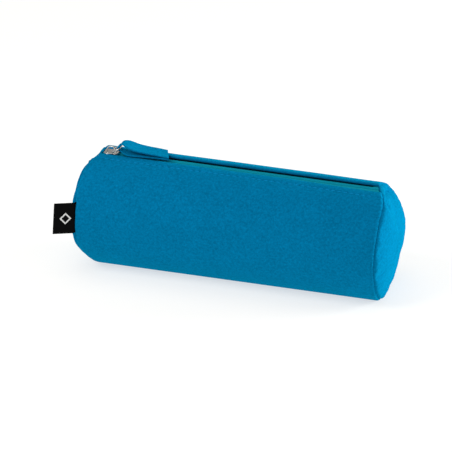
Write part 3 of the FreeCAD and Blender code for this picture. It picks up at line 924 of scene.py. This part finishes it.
def makePull():
    radius, freeEnd = pull["loopRadius"], stripHigh.x - pull["slant"] - pull["endMargin"]
    flatZ = stripLow.z + pull["cloth"] / 2
    leaveLow = math.radians(pull["leaveLow"])
    endZ = flatZ + pull["endGap"]
    slope = math.atan2(stripPivot.z + radius - endZ, freeEnd - stripPivot.x)
    lowTurn, highTurn = 1.5 * math.pi - leaveLow, math.pi / 2 - slope
    lowPoint = stripPivot + radius * Vector((math.cos(lowTurn), 0, math.sin(lowTurn)))
    highPoint = stripPivot + radius * Vector((math.cos(highTurn), 0, math.sin(highTurn)))
    lowLength, highLength = freeEnd - lowPoint.x, freeEnd - highPoint.x
    loopLength = (lowTurn - highTurn) * radius
    total = lowLength + loopLength + highLength
    drop = lowPoint.z - flatZ
    steep = math.tan(leaveLow) * pull["settle"] / drop

    def place(u, v):
        length = u * total
        if length < lowLength:
            x = freeEnd - length
            t = min(1, (x - lowPoint.x) / pull["settle"])
            z = flatZ + drop * (1 - t) ** 2 * (1 + (2 - steep) * t)
        elif length < lowLength + loopLength:
            turn = lowTurn - (length - lowLength) / radius
            x = stripPivot.x + radius * math.cos(turn)
            z = stripPivot.z + radius * math.sin(turn)
        else:
            x = highPoint.x + length - lowLength - loopLength
            t = (x - highPoint.x) / highLength
            z = highPoint.z + (endZ - highPoint.z) * t
            z += pull["hump"] * t / pull["humpAt"] * math.exp(1 - t / pull["humpAt"])
            z += pull["ripple"] * math.sin(math.pi * t) * noise.noise(Vector((x * 120, 3, 1)))
        half = along(pull["shoulder"], max(0, x - stripPivot.x))
        across = (2 * v - 1) * half
        curl = pull["curl"] * (2 * v - 1) ** 2 * smoothStep(x, stripPivot.x, stripPivot.x + 0.01)
        reach = smoothStep(x, stripPivot.x + 0.002, freeEnd)
        share = max(0, (x - stripPivot.x) / (freeEnd - stripPivot.x))
        x -= pull["slant"] * (2 * v - 1) * share ** 2
        spot = Vector((x, across + pull["askew"] * reach, z + (curl if length > lowLength else 0)))
        return spot, Vector((length, across, 0))

    obj = meshObject("pullStrip", gridSheet(pull["rows"], pull["columns"], place), caseFelt)
    thicken(obj, pull["cloth"])
    onBody(obj, "strip", "case_fabric", "pull_strip")


makePull()
print("slider and pull made")


# Side label: woven ribbon folded double, held in the left seam, with a plain mark

label = {
    "cloth": 0.00032,
    "fold": 0.00022,  # half the distance between the layers, middle to middle
    "root": (-0.1036, -0.0357),
    "seamTop": (-0.1037, -0.0391),
    "length": 0.0139,
    "lean": 0.16,  # how far the top leans towards the case, for each unit of height
    "turn": 24,  # degrees forwards from straight out
    "bend": 0.0012,  # half the length of the bend out of the seam
    "wave": 0.0005,
    "waveSpan": (0.006, 0.019),  # along the ribbon, where it starts and is full
    "columns": 140,
    "rows": 28,
    "markSize": 0.0078,
    "markLine": 0.0009,
    "markRaise": 0.00014,
    "markRound": 0.00006,
}
labelOut = Vector((-math.cos(math.radians(label["turn"])), -math.sin(math.radians(label["turn"])), 0))
labelFront = Vector((math.sin(math.radians(label["turn"])), -math.cos(math.radians(label["turn"])), 0))
labelRise = (Vector(label["seamTop"]) - Vector(label["root"])).length


# The middle of the label: up out of the seam, and then away from the case
def labelLine(distance):
    root, top = Vector((*label["root"], 0)), Vector((*label["seamTop"], 0))
    bend = label["bend"]
    if distance < labelRise - bend:
        return root + (top - root) * distance / labelRise
    if distance > labelRise + bend:
        return top + labelOut * (distance - labelRise)
    t = (distance - labelRise + bend) / (2 * bend)
    start, end = top - (top - root) * bend / labelRise, top + labelOut * bend
    return start * (1 - t) ** 2 + 2 * top * t * (1 - t) + end * t * t


def labelWave(distance, z):
    share = smoothStep(distance, *label["waveSpan"])
    return label["wave"] * share * noise.noise(Vector((distance * 120, z * 60, 2)))


def makeLabel():
    reach = labelRise + label["length"] - label["fold"]
    turnLength = math.pi * label["fold"]
    total = 2 * reach + turnLength

    def place(u, v):
        length, z = u * total, labelLow.z + v * (labelHigh.z - labelLow.z)
        distance, offset = length, label["fold"]
        if length > reach + turnLength:
            distance, offset = total - length, -label["fold"]
        elif length > reach:
            turn = (length - reach) / label["fold"]
            distance = reach + label["fold"] * math.sin(turn)
            offset = label["fold"] * math.cos(turn)
        step = 0.0001
        direction = (labelLine(distance + step) - labelLine(distance - step)).normalized()
        front = Vector((-direction.y, direction.x, 0))
        spot = labelLine(distance) + front * (offset + labelWave(distance, z))
        return Vector((spot.x, spot.y + label["lean"] * (z - axisHeight), z)), Vector((length, z, 0))

    obj = meshObject("sideLabel", gridSheet(label["columns"], label["rows"], place), labelSatin)
    thicken(obj, label["cloth"])
    onBody(obj, "case", "label_weave", "side_label")


# A plain outlined rhombus in white thread, on the label's front
def makeMark():
    markLow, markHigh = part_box("label_mark")
    centreZ = (markLow.z + markHigh.z) / 2
    middle = labelRise + ((markLow.x + markHigh.x) / 2 - label["seamTop"][0]) / labelOut.x
    bm = bmesh.new()
    cloth = bm.verts.layers.float_vector.new("cloth")
    bmesh.ops.create_circle(bm, segments=4, radius=label["markSize"] / 2, cap_ends=True)
    bmesh.ops.subdivide_edges(bm, edges=bm.edges[:], cuts=6)
    rim = bmesh.ops.inset_region(bm, faces=bm.faces[:], thickness=label["markLine"],
                                  use_even_offset=True, use_boundary=True)
    inner = [face for face in bm.faces if face not in rim["faces"]]
    bmesh.ops.delete(bm, geom=inner, context="FACES")
    raised = bmesh.ops.extrude_face_region(bm, geom=bm.faces[:])["geom"]
    bmesh.ops.translate(bm, verts=[item for item in raised if isinstance(item, bmesh.types.BMVert)],
                        vec=(0, 0, label["markRaise"] * 2))
    bmesh.ops.recalc_face_normals(bm, faces=bm.faces)
    roundEdges(bm, label["markRound"], 2)
    surface = label["fold"] + label["cloth"] / 2
    for vert in bm.verts:
        x, z, height = vert.co
        distance, level = middle + x, centreZ + z
        vert[cloth] = Vector((x, z, 0))
        spot = labelLine(distance) + labelFront * (
            surface + labelWave(distance, level) + height - label["markRaise"])
        vert.co = (spot.x, spot.y + label["lean"] * (level - axisHeight), level)
    obj = meshObject("labelMark", bm, markThread)
    onBody(obj, "case", "label_mark", "label_mark")


makeLabel()
makeMark()
print("label made")


# Floor, light and camera

studio = {
    "floorSize": 24,
    "floorColour": (0.47, 0.46, 0.435),
    "floorGlow": 0.63,  # keeps the floor bright between the lights
    "world": 0.38,
    # name, place, size, power, target
    "lights": [
        ("topLight", (-0.1, 0.1, 1.2), 0.9, 2.2, (0, 0, 0.04)),
        ("rightLight", (1.0, 0.5, 0.2), 0.6, 16, (0, 0, 0.04)),
        ("leftLight", (-0.5, -0.55, 0.75), 0.6, 4.7, (-0.1, -0.03, 0.05)),
    ],
    "turn": 18,  # degrees from the front towards the right end
    "height": 25,  # degrees above level
    "frameWidth": 0.2983,
    "sideways": 0.01056,
    "upwards": 0.00238,
    "distance": 8,  # far off, with a long lens, so that lines stay almost parallel
    "sensor": 36,
}


def makeFloor():
    bm = bmesh.new()
    bmesh.ops.create_grid(bm, x_segments=1, y_segments=1, size=studio["floorSize"] / 2)
    material, add, toShader = nodeTree(
        "paleFloor", 0.95, studio["floorColour"], Specular_IOR_Level=0.0,
        Emission_Color=(1, 1, 1, 1), Emission_Strength=studio["floorGlow"])
    place = add("ShaderNodeTexCoord").node.outputs["Object"]
    grain = add("ShaderNodeTexNoise", {"Vector": place, "Scale": 8, "Detail": 2})
    paler = studio["floorColour"]
    toShader("Base Color", ramp(add, grain, 0.3, 0.7, shade(paler, 0.995), paler))
    floor = meshObject("floor", bm, material)
    if floor.data.polygons[0].normal.z < 0:
        floor.data.flip_normals()


def addLight(name, place, size, power, target):
    data = bpy.data.lights.new(name, "AREA")
    data.shape = "DISK"
    data.size = size
    data.energy = power
    lamp = bpy.data.objects.new(name, data)
    collection.objects.link(lamp)
    lamp.location = place
    lamp.rotation_euler = (Vector(target) - Vector(place)).to_track_quat("-Z", "Y").to_euler()


def makeCamera():
    turn, height = math.radians(studio["turn"]), math.radians(studio["height"])
    right = Vector((math.cos(turn), math.sin(turn), 0))
    up = Vector((-math.sin(turn) * math.sin(height), math.cos(turn) * math.sin(height), math.cos(height)))
    level = Vector((math.sin(turn), -math.cos(turn), 0))
    back = level * math.cos(height) + Vector((0, 0, math.sin(height)))
    target = Vector((0, 0, axisHeight)) - studio["sideways"] * right - studio["upwards"] * up
    data = bpy.data.cameras.new("camera")
    data.sensor_width = studio["sensor"]
    data.lens = studio["sensor"] * studio["distance"] / studio["frameWidth"]
    camera = bpy.data.objects.new("camera", data)
    collection.objects.link(camera)
    camera.location = target + back * studio["distance"]
    camera.rotation_euler = (target - camera.location).to_track_quat("-Z", "Y").to_euler()
    bpy.context.scene.camera = camera


world = bpy.data.worlds.new("studio")
world.use_nodes = True
world.node_tree.nodes["Background"].inputs["Color"].default_value = (1, 1, 1, 1)
world.node_tree.nodes["Background"].inputs["Strength"].default_value = studio["world"]
bpy.context.scene.world = world
bpy.context.scene.view_settings.view_transform = "Standard"
makeFloor()
for row in studio["lights"]:
    addLight(*row)
makeCamera()
print("studio made")
